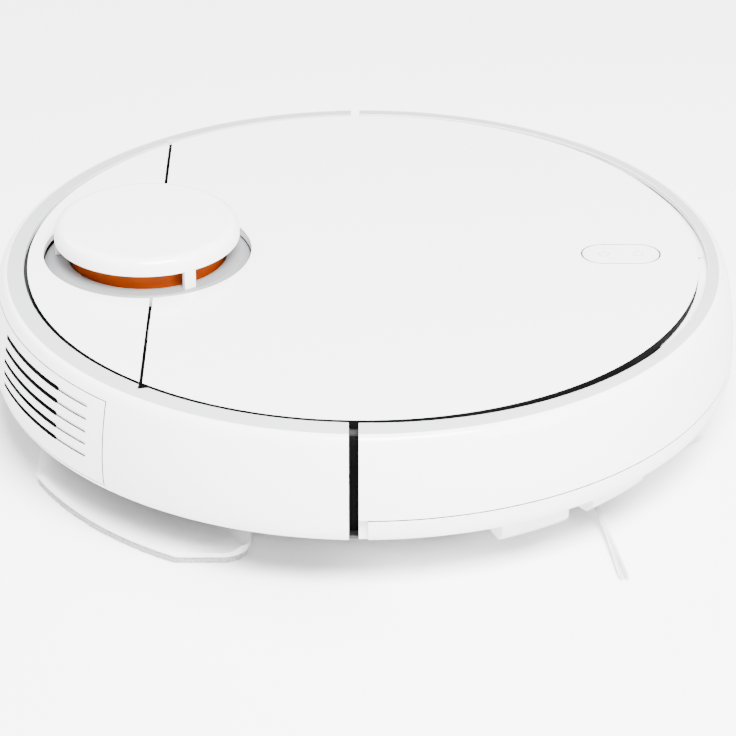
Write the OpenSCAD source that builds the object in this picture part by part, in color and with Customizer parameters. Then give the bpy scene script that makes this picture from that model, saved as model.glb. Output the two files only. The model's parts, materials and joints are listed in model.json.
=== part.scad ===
// Round robot vacuum with a laser turret, a bumper ring, a side brush and a mop plate.
// Origin: on the floor under the middle of the round body. +X drives forward, +Y left, +Z up.

/* [Body] */
// Diameter of the round body at its widest
body_d = 350; // [340:1:430]
// Height of the flat top above the floor
body_h = 78.5; // [76:0.5:100]
// Height of the base plate above the floor
ground = 12; // [10:0.5:14]
// Height of the lower edge of the side walls
skirt_z = 28; // [26:0.5:32]
// Height at which the side wall is widest, and the top of the bumper's trim strip
widest_z = 39; // [36:0.5:44]
// Thickness of the outer shells
wall = 2.5; // [2:0.1:3]
// Width of the sloping ring between the lid's gap and the side wall
rim_w = 7.7; // [6:0.1:10]
// Thickness of the base plate
base_t = 2.5; // [2:0.1:3]
// Thickness of the upper deck under the lid
deck_t = 2.2; // [1.8:0.1:3]

/* [Lid] */
// Radius taken off the body's radius to reach the lid's edge
lid_inset = 18; // [16:0.5:24]
// Gap round the lid
lid_gap = 1.8; // [1.2:0.1:2.5]
// Thickness of the lid's plate
lid_t = 2.5; // [2:0.1:3]
// Depth of the lid's edge below its top
lid_skirt = 4; // [3.6:0.1:5]
// Width of the seam between the lid and the rear cover
seam_w = 1.5; // [1.2:0.1:2]
// Distance from the turret's centre forward to the seam
seam_ahead = 4.6; // [2:0.1:10]
// Opening angle of the lid
lid_open = 70; // [50:1:70]

/* [Buttons] */
// Distance of the button's centre from the body's front edge
button_inset = 54; // [48:1:70]
// Length of the button
button_l = 36; // [30:0.5:42]
// Width of the button
button_w = 18.8; // [14:0.2:22]
// Width of the dark line round the button
button_line = 0.7; // [0.5:0.1:1]

/* [Turret] */
// Distance of the turret's centre from the body's rear edge
lidar_inset = 73.6; // [68:0.2:90]
// Distance of the turret's centre left of the middle
lidar_y = 4.5; // [0:0.5:6]
// Diameter of the turret's cap
cap_d = 87; // [78:0.5:105]
// Height of the cap's top above the lid
cap_rise = 16; // [14:0.5:20]
// Height of the cap's side band
cap_band = 8; // [7:0.5:10]
// Width of the moat between the cap and the lid
moat_w = 5.4; // [4:0.2:8]
// Radial clearance between the cap's posts and the rotor
rotor_gap = 4.9; // [1:0.1:6]
// Radius of the small pulley on the turret motor
pulley_r = 4; // [3.5:0.1:6]

/* [Bumper] */
// How far the bumper moves when it meets something
bumper_stroke = 4; // [3:0.5:5]
// Centre of the split between the bumper and the rear shell, behind the body's centre
split_back = 4.1; // [3:0.1:8]
// Thickness of the trim strip along the bumper's lower edge
trim_t = 3.3; // [3:0.1:3.6]

/* [Drive wheels] */
// Diameter of the drive wheels
wheel_d = 70; // [64:1:72]
// Width of the tyres
wheel_w = 18; // [14:1:20]
// Distance of the wheels' middles from the body's side edge
wheel_inset = 60; // [56:1:66]
// Thickness of the rubber tyre
tyre_t = 6; // [4:0.5:8]
// Width of the swinging arm's gear case
arm_w = 15; // [12:1:16]
// Distance from the wheel's axle forward to the arm's pivot
arm_l = 44; // [42:1:50]
// Angle through which a wheel drops when the body is lifted
wheel_drop = 25; // [15:1:25]

/* [Main brush] */
// Diameter over the blades
brush_d = 37; // [34:0.5:38]
// Length of the blades
brush_l = 150; // [120:1:150]
// Distance of the brush's axis behind the wheels' axle
brush_back = 8; // [6:1:12]
// Clearance between the blades and the floor
brush_lift = 1.5; // [1:0.1:3]

/* [Side brush] */
// Distance of the side brush's axis from the body's edge
side_inset = 42.6; // [38:0.2:50]
// Direction of the side brush's axis from the middle of the body
side_az = -40.5; // [-50:0.5:-35]
// Reach of the bristles from their axis
side_reach = 78; // [60:1:78]
// Direction in which the first tuft points
tuft_az = -78; // [-110:1:-40]

/* [Caster] */
// Distance of the caster's pivot from the body's front edge
caster_inset = 37; // [34:1:42]
// Diameter of the caster's wheel
caster_d = 24; // [20:1:24]
// Distance of the caster's axle behind its pivot
caster_trail = 4; // [3:0.5:5]

/* [Mop] */
// Distance of the mop's front edge behind the wheels' axle
mop_front = 50; // [44:1:60]
// Half of the mop's width
mop_half = 147.5; // [130:0.5:155]
// Thickness of the cloth
cloth_t = 3.4; // [2:0.1:5]
// How far the mop plate slides off to the rear
mop_slide = 30; // [20:1:40]

/* [Dust bin] */
// Length of the bin, front to rear
bin_l = 66; // [50:1:70]
// Width of the bin
bin_w = 144; // [100:1:146]
// Wall of the bin
bin_t = 2; // [1.5:0.1:2.5]
// How far the bin rises while the lid opens
bin_lift = 30; // [15:1:32]

/* [Inside] */
// Battery length, width and height
battery_size = [64, 75, 38];
// Radius of the fan's housing
fan_r = 30; // [24:1:30]
// Diameter of the round main parts' screws
screw_d = 3; // [2.5:0.1:3.5]

/* [Hidden] */
$fn = 96;

// Colours
white = "#F4F4F4";
pale = "#E2E3E4";
grey = "#B4B7BA";
dark = "#2B2C2E";
orange = "#D9591A";
steel = "#B9BDC1";
copper = "#C08A4A";
pcb_green = "#2F6B4A";
cloth_grey = "#A9ABAD";

// Clearances
hair = 0.05;    // between pieces fixed to each other
run = 0.06;     // radial, shaft in bore
free = 0.5;     // between pieces that pass each other

// Heights
body_r = body_d / 2;
base_top = ground + base_t;
rim_drop = 1.3;                         // fall of the sloping rim from its inner to its outer edge
shoulder_z = body_h - 10.5;             // where the side wall turns in to the rim
lid_low = body_h - lid_skirt;
hinge_z = body_h - 3.4;                 // lid hinge axis, low enough to hide its ears under the lid
deck_top = body_h - 5.9;
deck_low = deck_top - deck_t;
ledge_z = body_h - wall - 1.7;
cap_top = body_h + cap_rise;
cap_low = cap_top - cap_band;
moat_z = body_h - 1.1;                  // floor of the moat beside the posts

// Radii of the round body
lid_r = body_r - lid_inset;
rim_in = lid_r + lid_gap;
rim_out = rim_in + rim_w;
bulge = 3;                              // how much narrower the wall is at its shoulder
bulge_r = pow(shoulder_z - widest_z, 2) / (2 * bulge);
frame_out = body_r - 11.6;
frame_t = 3.4;
frame_in = frame_out - frame_t;
flat_r = body_r - 29;                   // flat part of the base plate
base_r = body_r - 7;
base_rim_z = skirt_z - free;

// Lengthwise places
split_gap = bumper_stroke + 0.2;
bumper_back = -split_back + split_gap / 2;
shell_front = -split_back - split_gap / 2;
lidar_x = -(body_r - lidar_inset);
seam_x = lidar_x + seam_ahead;
lid_back = seam_x + seam_w / 2;
cover_front = seam_x - seam_w / 2;
hinge_x = lid_back + 1.2;
button_x = body_r - button_inset;
cap_r = cap_d / 2;
moat_r = cap_r + moat_w;

// Outer side wall as [radius, height] points from its lower edge up to its shoulder
function wall_r(z) = body_r - pow(z - widest_z, 2) / (2 * bulge_r);
function bezier(p, q, r, n) = [for (i = [0:n]) let (t = i / n)
  p * pow(1 - t, 2) + q * 2 * t * (1 - t) + r * t * t];
wall_steps = 5;
function skirt_points(t) = [
  [body_r - 2.7 - t, skirt_z], [body_r - 1.3 - t, skirt_z + 1.4], [body_r - 0.3 - t, skirt_z + 5]];
function bulge_points(t) = [for (i = [0:wall_steps])
  let (z = widest_z + (shoulder_z - widest_z) * i / wall_steps) [wall_r(z) - t, z]];
function rim_points(t) = bezier(
  [wall_r(shoulder_z) - t, shoulder_z],
  [rim_out + 3.8 - t, body_h - rim_drop - t],
  [rim_out - t / 2, body_h - rim_drop - t], 5);
function tail(list) = [for (i = [1:len(list) - 1]) list[i]];
function outside(t) = concat(skirt_points(t), bulge_points(t), tail(rim_points(t)),
  [[rim_in, body_h - t]]);
function flip(list) = [for (i = [len(list) - 1:-1:0]) list[i]];

// Helpers
module box(lo, hi) { translate(lo) cube(hi - lo); }
module tube(r_out, r_in, h) {
  difference() {
    cylinder(r = r_out, h = h);
    translate([0, 0, -1]) cylinder(r = r_in, h = h + 2);
  }
}
// A cylinder along +Y, from y to y + h
module rod_y(x, y, z, r, h) { translate([x, y + h, z]) rotate([90, 0, 0]) cylinder(r = r, h = h); }
module sector(from, to) { rotate([0, 0, from]) rotate_extrude(angle = to - from) children(); }
module pill(l, w, h) {
  linear_extrude(h) {
    square([l - w, w], center = true);
    for (s = [-1, 1]) translate([s * (l - w) / 2, 0]) circle(d = w);
  }
}
module polar(r, az) { rotate([0, 0, az]) translate([r, 0, 0]) children(); }
module at(x, y) { translate([x, y, 0]) children(); }
// Mirrors what is modelled on the left side (+Y) onto the right for s = -1
module on_side(s) { if (s > 0) children(); else mirror([0, 1, 0]) children(); }
// A hexagonal wire wound into a coil along +Z
module coil(r, wire, h, turns) {
  per = 12;
  sides = 6;
  n = turns * per;
  points = [for (i = [0:n]) for (j = [0:sides - 1])
    let (a = 360 * i / per, b = 360 * j / sides, rr = r + wire * cos(b))
    [rr * cos(a), rr * sin(a), wire + (h - 2 * wire) * i / n + wire * sin(b)]];
  walls = [for (i = [0:n - 1]) for (j = [0:sides - 1])
    let (k = (j + 1) % sides)
    [i * sides + j, i * sides + k, (i + 1) * sides + k, (i + 1) * sides + j]];
  ends = [[for (j = [sides - 1:-1:0]) j], [for (j = [0:sides - 1]) n * sides + j]];
  polyhedron(points, concat(walls, ends));
}
// A spur gear with straight-sided teeth, a tooth pointing along +X
module gear_2d(teeth, module_mm) {
  pitch = teeth * module_mm / 2;
  root = pitch - 1.2 * module_mm;
  tip = pitch + 0.85 * module_mm;
  step = 360 / teeth;
  polygon([for (i = [0:teeth - 1]) for (p = [[root, -0.30], [tip, -0.12], [tip, 0.12], [root, 0.30]])
    p[0] * [cos(step * (i + p[1])), sin(step * (i + p[1]))]]);
}

// ---- Base ----
wheel_y = body_r - wheel_inset;
wheel_r = wheel_d / 2;
arm_out = wheel_y - wheel_w / 2 - 2.5;
arm_in = arm_out - arm_w;
pivot_z = wheel_r + 5;
pivot_r = 2;
ear_t = 2;
well_side = 3;
brush_x = -brush_back;
brush_r = brush_d / 2;
brush_z = brush_r + brush_lift;
chamber_r = brush_r + 2.5;
housing_y = brush_l / 2 + 4;
housing_back = brush_x - chamber_r - 3;
housing_front = brush_x + chamber_r + 3;
housing_top = brush_z + chamber_r + 1.5;
brush_gear_teeth = 24;
pinion_teeth = 12;
gear_module = 0.75;
idler_teeth = 24;
gear_y = housing_y + 1.2;
gear_t = 3.8;
core_r = 8;
shaft_r = 3;
gearbox_t = 6.4;
well_clear = 1;
gearbox_half = 12;
idler_z = brush_z + gear_module * (brush_gear_teeth + idler_teeth) / 2;
pinion_z = idler_z + gear_module * (idler_teeth + pinion_teeth) / 2;
idler_pin_r = 1.5;
motor_shaft_r = 1;
caster_x = body_r - caster_inset;
caster_r = caster_d / 2;
caster_cup = caster_r + caster_trail + 2;
cup_h = 16;
caster_stem = 3;
side_r = body_r - side_inset;
side_x = side_r * cos(side_az);
side_y = side_r * sin(side_az);
side_stem = 3;
pod_az = [-62, -45, 45, 62];
battery_back = housing_back - free * 4 - battery_size[0];
hatch_edge = 3;
hatch_lo = [battery_back - hatch_edge, -battery_size[1] / 2 - 1.5, ground];
hatch_hi = [battery_back + battery_size[0] + 0.5, battery_size[1] / 2 + 1.5, base_top];
stud_x = -mop_front - 12;
stud_y = 62;
stud_r = 2.5;
stud_head = 4;
mop_top = ground - 0.8;
contact_x = body_r - 58;
contact_y = 30;
screw_places = [for (a = [20, 100, 160, 200, 260, 340]) [(body_r - 37) * cos(a), (body_r - 37) * sin(a)]];

module wheel_openings() {
  for (s = [-1, 1]) on_side(s) {
    box([-wheel_r - 5, wheel_y - wheel_w / 2 - hair, 0],
      [wheel_r + 8.5, wheel_y + wheel_w / 2 + 4, base_top + 1]);
    box([-wheel_r - 5, arm_in - 2, 0], [arm_l - 7, arm_out + ear_t + 1, base_top + 1]);
  }
}

module wheel_brackets() {
  for (s = [-1, 1]) on_side(s) for (y = [arm_in - 0.4 - ear_t, arm_out + 0.4]) difference() {
    union() {
      box([arm_l - 5, y, base_top - 1], [arm_l + 5, y + ear_t, pivot_z]);
      rod_y(arm_l, y, pivot_z, 5, ear_t);
    }
    rod_y(arm_l, y - 1, pivot_z, pivot_r, ear_t + 2);
  }
}

module base_plate() color(pale) {
  difference() {
    union() {
      rotate_extrude() polygon([[0, ground], [flat_r, ground], [base_r, base_rim_z - 1.5],
        [base_r, base_rim_z], [base_r - 4, base_rim_z], [flat_r - 1, base_top], [0, base_top]]);
      for (a = pod_az) sector(a - 6, a + 6) polygon([[flat_r - 2, ground + hair],
        [flat_r + 12, ground + hair], [flat_r + 16, ground + 4], [flat_r + 16, ground + 10],
        [flat_r - 2, ground + base_t]]);
      at(caster_x, 0) translate([0, 0, ground + 1]) cylinder(r = caster_cup + 2, h = 23);
      at(side_x, side_y) translate([0, 0, ground + 0.5]) cylinder(r = side_stem + 3, h = 5.5);
      for (p = screw_places) at(p[0], p[1]) translate([0, 0, base_top - 1])
        cylinder(d = screw_d * 2.6, h = 9);
    }
    wheel_openings();
    box([housing_back + 2, -housing_y + 2, 0], [housing_front - 2, housing_y - 2, base_top + 1]);
    box([brush_x - gearbox_half - hair, housing_y - 3, 0],
      [brush_x + gearbox_half + hair, housing_y + gearbox_t + hair, base_top + 1]);
    box(hatch_lo - [hair, hair, 1], hatch_hi + [hair, hair, 1]);
    at(caster_x, 0) translate([0, 0, ground - 3]) cylinder(r = caster_cup, h = cup_h);
    at(caster_x, 0) translate([0, 0, ground]) cylinder(r = caster_stem + run, h = 40);
    at(side_x, side_y) cylinder(r = side_stem + run, h = 40);
    for (s = [-1, 1]) box([contact_x - 6 - hair, s * contact_y - 6 - hair, 0],
      [contact_x + 6 + hair, s * contact_y + 6 + hair, ground + 1]);
    for (a = pod_az) polar(flat_r + 5, a) box([-3 - hair, -7 - hair, 0], [3 + hair, 7 + hair, ground + 1.5]);
    for (p = screw_places) at(p[0], p[1]) {
      cylinder(d = screw_d + 0.1, h = 30);
      cylinder(d = screw_d * 2, h = ground + 1.2);
    }
    for (s = [-1, 1]) at(stud_x, s * stud_y) cylinder(r = 1.2, h = 30);
  }
  wheel_brackets();
  for (s = [-1, 1]) at(stud_x, s * stud_y) {
    translate([0, 0, ground - 5.4]) cylinder(r = stud_r, h = 6.4);
    translate([0, 0, ground - 7]) cylinder(r = stud_head, h = 1.6);
  }
}

module inner_frame() color(dark) difference() {
  translate([0, 0, base_rim_z + hair]) tube(frame_out, frame_in, deck_low - base_rim_z - 2 * hair);
  for (s = [-1, 1]) rotate([0, 0, 180 + s * 29.2])
    box([frame_in - 5, -22, 40], [frame_out + 5, 22, deck_low - 4]);
}

panel_half = 49.1;
panel_low = skirt_z + 3;
panel_top = body_h - 6.6;
panel_t = 2.2;
slot_n = 5;
slot_pitch = 6;
slot_h = 2;
slot_down = 12.2;             // from the body's top down to the highest slot's middle
slot_az = [19.9, 38.5];
groove_az = 45.5;             // where the blind grooves that carry on from the slots end
groove_depth = 0.6;

module shell_profile() polygon(concat(outside(0), flip(outside(wall))));
module rear_shell() color(white) {
  difference() {
    union() {
      rotate_extrude() shell_profile();
      translate([0, 0, skirt_z]) tube(body_r - 3.4, base_r - 3, 2);
    }
    box([shell_front, -body_r - 5, 0], [body_r + 5, body_r + 5, cap_top]);
    rod_y(hinge_x, -corner_sweep_y, hinge_z, corner_sweep_r, 2 * corner_sweep_y);
    sector(180 - panel_half - 0.15, 180 + panel_half + 0.15)
      polygon([[frame_out + 1, panel_low - 0.3], [body_r + 5, panel_low - 0.3],
        [body_r + 5, panel_top + 0.3], [frame_out + 1, panel_top + 0.3]]);
  }
}

module rear_panel() color(white) difference() {
  intersection() {
    sector(180 - panel_half, 180 + panel_half) polygon(concat(outside(0), flip(outside(panel_t))));
    translate([0, 0, panel_low]) cylinder(r = body_r + 5, h = panel_top - panel_low);
  }
  for (s = [-1, 1]) for (i = [0:slot_n - 1]) let (z = body_h - slot_down - i * slot_pitch)
    sector(180 + min(s * slot_az[0], s * slot_az[1]), 180 + max(s * slot_az[0], s * slot_az[1]))
      polygon([[frame_out, z - slot_h / 2], [body_r + 5, z - slot_h / 2],
        [body_r + 5, z + slot_h / 2], [frame_out, z + slot_h / 2]]);
  for (s = [-1, 1]) intersection() {
    sector(180 + min(s * slot_az[1] - s, s * groove_az), 180 + max(s * slot_az[1] - s, s * groove_az))
      polygon(concat(outside(-1), flip(outside(groove_depth))));
    for (i = [0:slot_n - 1]) translate([0, 0, body_h - slot_down - i * slot_pitch - 0.6])
      cylinder(r = body_r + 5, h = 1.2);
  }
}

// ---- Deck, lid and turret ----
bay_back = housing_front + 2;
bay_front = bay_back + bin_l + 2 * free;
bay_half = bin_w / 2 + free;
scoop_az = [-31, 1.5];
ledge_az = 40;
ledge_r = frame_out - 1.4;               // clear of the bumper when it is pushed in
cup_out = moat_r + 0.8;
hinge_y = lidar_y + cup_out + 5.8;       // where the lid's hinges begin, beside the turret
ear_y = [hinge_y + 6, hinge_y + 12];
knuckle_y = [[hinge_y, hinge_y + 5.7], [hinge_y + 12.3, hinge_y + 18]];
knuckle_r = 2;
hinge_pin_r = 1;
sweep_r = 3.9;                           // what the lid's rear edge sweeps about the hinge, and room
corner_sweep_r = sweep_r + 0.45;         // the lid's rear corners swing a little wider
corner_sweep_y = sqrt(pow(lid_r, 2) - pow(hinge_x + sweep_r, 2)) + 0.5;

module hinge_axis(y, r, h) { rod_y(hinge_x, y, hinge_z, r, h); }

module upper_deck() color(pale) difference() {
  union() {
    translate([0, 0, deck_low]) cylinder(r = frame_out, h = deck_t);
    sector(scoop_az[1], ledge_az) polygon([[lid_r + 0.6, deck_top - 1], [ledge_r, deck_top - 1],
      [ledge_r, ledge_z], [lid_r + 0.6, ledge_z]]);
    sector(-ledge_az, scoop_az[0]) polygon([[lid_r + 0.6, deck_top - 1], [ledge_r, deck_top - 1],
      [ledge_r, ledge_z], [lid_r + 0.6, ledge_z]]);
    sector(scoop_az[0] - 0.3, scoop_az[1] + 0.3) polygon([[lid_r - 6, deck_top - 1],
      [ledge_r - 0.2, deck_top - 1], [ledge_r - 0.2, ledge_z - 0.1], [ledge_r - 2, ledge_z - 0.1]]);
    for (s = [-1, 1]) on_side(s) {
      hinge_axis(ear_y[0], knuckle_r, ear_y[1] - ear_y[0]);
      box([hinge_x - 1, ear_y[0], deck_top - 1], [hinge_x + 1.5, ear_y[1], hinge_z]);
    }
  }
  box([bay_back, -bay_half, deck_low - 1], [bay_front, bay_half, deck_top + 1]);
  at(lidar_x, lidar_y) translate([0, 0, deck_low - 1]) cylinder(r = cup_out + hair, h = deck_t + 2);
  for (s = [-1, 1]) on_side(s) {
    hinge_axis(ear_y[0] - 1, hinge_pin_r, ear_y[1] - ear_y[0] + 2);
    for (k = knuckle_y) box([hinge_x - sweep_r, k[0] - 0.2, deck_low - 1],
      [hinge_x + sweep_r, k[1] + 0.2, deck_top + 1]);
  }
}

module lid_seal() color(dark) difference() {
  sector(ledge_az + 1, 360 - ledge_az - 1)
    polygon([[lid_r - 3.5, deck_top + hair], [rim_in + 1.5, deck_top + hair],
      [rim_in + 1.5, deck_top + 0.8], [lid_r - 0.6, deck_top + 0.8], [lid_r - 1.2, lid_low - 0.1],
      [lid_r - 2.6, lid_low - 0.1], [lid_r - 3.5, deck_top + 0.8]]);
  rod_y(hinge_x, -body_r, hinge_z, sweep_r, 2 * body_r);
  at(lidar_x, lidar_y) cylinder(r = cup_out + 2 * hair, h = cap_top);
}

module lid() color(white) difference() {
  union() {
    difference() {
      translate([0, 0, lid_low]) cylinder(r = lid_r, h = lid_skirt);
      difference() {
        translate([0, 0, lid_low - 1]) cylinder(r = lid_r - 5, h = lid_skirt - lid_t + 1);
        at(lidar_x, lidar_y) cylinder(r = moat_r + 3, h = cap_top);
        box([-body_r, -body_r, 0], [lid_back + 6, body_r, cap_top]);
      }
    }
    for (s = [-1, 1]) on_side(s) for (k = knuckle_y) hinge_axis(k[0], knuckle_r, k[1] - k[0]);
  }
  at(lidar_x, lidar_y) cylinder(r = moat_r, h = cap_top);
  difference() {
    box([-body_r, -body_r, 0], [lid_back, body_r, cap_top]);
    for (s = [-1, 1]) on_side(s) for (k = knuckle_y) hinge_axis(k[0], knuckle_r, k[1] - k[0]);
  }
  at(button_x, 0) translate([0, 0, lid_low - 1])
    pill(button_l + 2 * button_line + 0.2, button_w + 2 * button_line + 0.2, lid_skirt + 2);
  for (s = [-1, 1]) on_side(s) {
    box([lid_back - 1, ear_y[0] - 0.3, lid_low - 3],
      [hinge_x + knuckle_r + 0.4, ear_y[1] + 0.3, hinge_z + knuckle_r + 0.2]);
    hinge_axis(knuckle_y[0][0] - 1, hinge_pin_r + run, knuckle_y[1][1] - knuckle_y[0][0] + 2);
  }
}

// The lid's two hinge pins and the wheel arms' two pivot pins
module hinge_pins() color(steel) for (s = [-1, 1]) on_side(s) {
  hinge_axis(knuckle_y[0][0] + 0.5, hinge_pin_r - 0.01, knuckle_y[1][1] - knuckle_y[0][0] - 1);
  rod_y(arm_l, arm_in - 0.4 - ear_t, pivot_z, pivot_r - 0.01, arm_w + 2 * ear_t + 0.8);
}

module rear_top_cover() color(white) difference() {
  translate([0, 0, body_h - 3]) cylinder(r = lid_r, h = 3);
  at(lidar_x, lidar_y) cylinder(r = moat_r, h = cap_top);
  box([cover_front, -body_r, 0], [body_r, body_r, cap_top]);
  rod_y(hinge_x, -body_r, hinge_z, sweep_r, 2 * body_r);
}

bezel_low = body_h - lid_t;
rocker_pin_r = 0.8;
rocker_tilt = 1.5;
switch_x = 11;
module button_bezel() color(dark) difference() {
  at(button_x, 0) translate([0, 0, bezel_low]) pill(button_l + 2 * button_line, button_w + 2 * button_line,
    lid_t - 0.15);
  at(button_x, 0) pill(button_l + 0.3, button_w + 0.3, cap_top);
  rod_y(button_x, -button_w, bezel_low + 1, rocker_pin_r + run, 2 * button_w);
}
module button_rocker() color(white) {
  at(button_x, 0) translate([0, 0, bezel_low]) pill(button_l, button_w, lid_t);
  rod_y(button_x, -button_w / 2 - 0.6, bezel_low + 1, rocker_pin_r, button_w + 1.2);
  for (s = [-1, 1]) at(button_x + s * switch_x, 0)
    translate([0, 0, bezel_low - 0.5]) cylinder(r = 1.5, h = 1);
}
module switch_board() color(pcb_green) {
  box([button_x - 16, -7, deck_top + hair], [button_x + 16, 7, deck_top + 1]);
  for (s = [-1, 1]) at(button_x + s * switch_x, 0) translate([0, 0, deck_top + 1])
    cylinder(r = 1.6, h = bezel_low - 0.5 - 0.4 - deck_top - 1);
}

rotor_r = cap_r - wall - rotor_gap;
rotor_top = cap_top - wall - 1.5;
pan_low = deck_low - 10.4;
pan_t = 1.6;
pan_r = moat_r - 2;
hub_r = 20;
bearing_in = 10;
bearing_out = 15;
belt_z = pan_low + pan_t + 2;
belt_h = 4;
motor_reach = 36;
motor_az = 130;
motor_x = lidar_x + motor_reach * cos(motor_az);
motor_y = lidar_y + motor_reach * sin(motor_az);
belt_t = 1.2;
belt_gap = 0.3;
post_az = [-59.5, 60.5, 180];
module lidar_base() color(grey) at(lidar_x, lidar_y) {
  difference() {
    rotate_extrude() polygon([
      [0, pan_low], [pan_r, pan_low], [pan_r, deck_low - 1], [cup_out, deck_low - 1],
      [cup_out, deck_top + 1], [moat_r - 0.4, deck_top + 1.4], [cap_r + 1, moat_z], [rotor_r + 1.5, moat_z],
      [rotor_r + 1.5, moat_z - 2], [pan_r - pan_t, deck_low - 1], [pan_r - pan_t, pan_low + pan_t],
      [bearing_in - hair, pan_low + pan_t], [bearing_in - hair, belt_z + belt_h],
      [bearing_in - 2.5, belt_z + belt_h], [bearing_in - 2.5, pan_low + pan_t], [0, pan_low + pan_t]]);
    at(motor_reach * cos(motor_az), motor_reach * sin(motor_az)) cylinder(r = 2, h = deck_low);
  }
}

module lidar_cap() color(white) at(lidar_x, lidar_y) {
  round_r = 6;
  rotate_extrude() polygon(concat(
    [[cap_r, cap_low]],
    bezier([cap_r, cap_top - round_r], [cap_r, cap_top], [cap_r - round_r, cap_top], 6),
    [[0, cap_top], [0, cap_top - wall]],
    bezier([cap_r - round_r, cap_top - wall], [cap_r - wall, cap_top - wall],
      [cap_r - wall, cap_top - round_r], 6),
    [[cap_r - wall, cap_low]]));
  for (a = post_az) rotate([0, 0, a])
    box([cap_r - wall, -2.8, moat_z + hair], [cap_r - 0.3, 2.8, cap_low + 2]);
}

module lidar_rotor() color(orange) at(lidar_x, lidar_y) difference() {
  union() {
    translate([0, 0, deck_low - 1]) cylinder(r = rotor_r, h = rotor_top - deck_low + 1);
    translate([0, 0, belt_z - 1]) cylinder(r = hub_r, h = deck_low - belt_z + 1);
    translate([0, 0, belt_z + belt_h + 0.6]) cylinder(r = hub_r + 2, h = deck_low - belt_z - belt_h);
  }
  translate([0, 0, belt_z - 2]) cylinder(r = bearing_out + hair, h = belt_h + 2.5);
  translate([0, 0, deck_low + 1]) tube(rotor_r - 2.5, hub_r, rotor_top - deck_low - 3);
}

module lidar_bearing() color(steel) at(lidar_x, lidar_y) translate([0, 0, belt_z - 1])
  tube(bearing_out - hair, bearing_in + hair, belt_h);

module lidar_motor() color(steel) at(motor_x, motor_y) {
  translate([0, 0, pan_low - 17]) cylinder(r = 8, h = 17 - hair);
  translate([0, 0, pan_low - 1]) cylinder(r = 1, h = belt_z + belt_h - pan_low);
}

module lidar_pulley() color(dark) at(motor_x, motor_y) difference() {
  union() {
    translate([0, 0, belt_z - 0.6]) cylinder(r = pulley_r, h = belt_h + 1.2);
    translate([0, 0, belt_z - 1.2]) cylinder(r = pulley_r + 1.4, h = 0.6);
  }
  translate([0, 0, belt_z - 2]) cylinder(r = 1 + run, h = belt_h + 4);
}

module belt_loop(extra) hull() {
  circle(r = hub_r + belt_gap + extra);
  at(motor_reach, 0) circle(r = pulley_r + belt_gap + extra);
}
module lidar_belt() color(dark) at(lidar_x, lidar_y) rotate([0, 0, motor_az])
  translate([0, 0, belt_z + hair]) linear_extrude(belt_h - 2 * hair)
    difference() { belt_loop(belt_t); belt_loop(0); }

// ---- Bumper ----
spring_az = 20;
spring_z = 50;
bumper_spring_r = 3;
spring_y = frame_out * sin(spring_az);
spring_from = sqrt(pow(frame_out, 2) - pow(spring_y - bumper_spring_r - 1, 2)) + 0.3;
spring_to = sqrt(pow(body_r - wall, 2) - pow(spring_y + bumper_spring_r + 1, 2)) - 1.2;
module bumper_split() { box([-body_r - 5, -body_r - 5, 0], [bumper_back, body_r + 5, cap_top]); }
module bumper() color(white) difference() {
  rotate_extrude() polygon(concat(
    [[body_r - trim_t - wall, skirt_z], [body_r - trim_t - hair, skirt_z],
     [body_r - trim_t - hair, widest_z],
     [body_r, widest_z]],
    tail(bulge_points(0)), tail(rim_points(0)), [[rim_in, body_h]],
    flip(concat([[body_r - trim_t - wall, widest_z + 2]], tail(bulge_points(wall)), tail(rim_points(wall)),
      [[rim_in, body_h - wall]]))));
  bumper_split();
  at(bumper_stroke - 1.4, 0) translate([0, 0, deck_low]) cylinder(r = rim_in, h = cap_top);
}
module bumper_trim() color(pale) difference() {
  rotate_extrude() polygon(concat([[body_r - trim_t, skirt_z]], skirt_points(0),
    [[body_r, widest_z - 0.4], [body_r - 0.5, widest_z - hair], [body_r - trim_t, widest_z - hair]]));
  box([-body_r - 5, -body_r - 5, 0], [bumper_back + 4, body_r + 5, cap_top]);
}
module bumper_springs() color(steel) for (s = [-1, 1])
  translate([spring_from, s * spring_y, spring_z]) rotate([0, 90, 0])
    coil(bumper_spring_r, 0.4, spring_to - spring_from, 4);
module bumper_switches() color(dark) for (s = [-1, 1]) rotate([0, 0, s * 40]) {
  box([frame_out + 0.1, -6, 46], [frame_out + 4.2, 6, 53]);
  box([frame_out + 4.2, -2, 48], [frame_out + 5.2, 2, 51]);
}

// ---- Wheels ----
axle_r = 3;
hub_face = 1.2;
module wheel_arm() color(dark) difference() {
  union() {
    rod_y(0, arm_in, wheel_r, 15, arm_w);
    rod_y(arm_l, arm_in, pivot_z, 8, arm_w);
    translate([0, arm_out, 0]) rotate([90, 0, 0]) linear_extrude(arm_w)
      polygon([[-2, wheel_r + 14], [4, wheel_r - 14], [arm_l, pivot_z - 7.5], [arm_l, pivot_z + 7.5]]);
    box([-20, arm_in + 1, wheel_r + 8], [14, arm_out - 1, wheel_r + 25]);
  }
  rod_y(0, arm_in + 3, wheel_r, axle_r + run, arm_w);
  rod_y(arm_l, arm_in - 1, pivot_z, pivot_r + run, arm_w + 2);
}
module wheel_hub() color(grey) {
  rod_y(0, arm_in + 3.5, wheel_r, axle_r, arm_w + 3);
  difference() {
    rod_y(0, wheel_y - wheel_w / 2, wheel_r, wheel_r - tyre_t - hair, wheel_w);
    rod_y(0, wheel_y + 2, wheel_r, wheel_r - tyre_t - 3, wheel_w);
    for (i = [0:5]) translate([0, wheel_y + wheel_w, wheel_r]) rotate([0, 60 * i, 0])
      translate([14.5, 0, 0]) rotate([90, 0, 0]) cylinder(r = 4.5, h = wheel_w * 2);
  }
}
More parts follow.
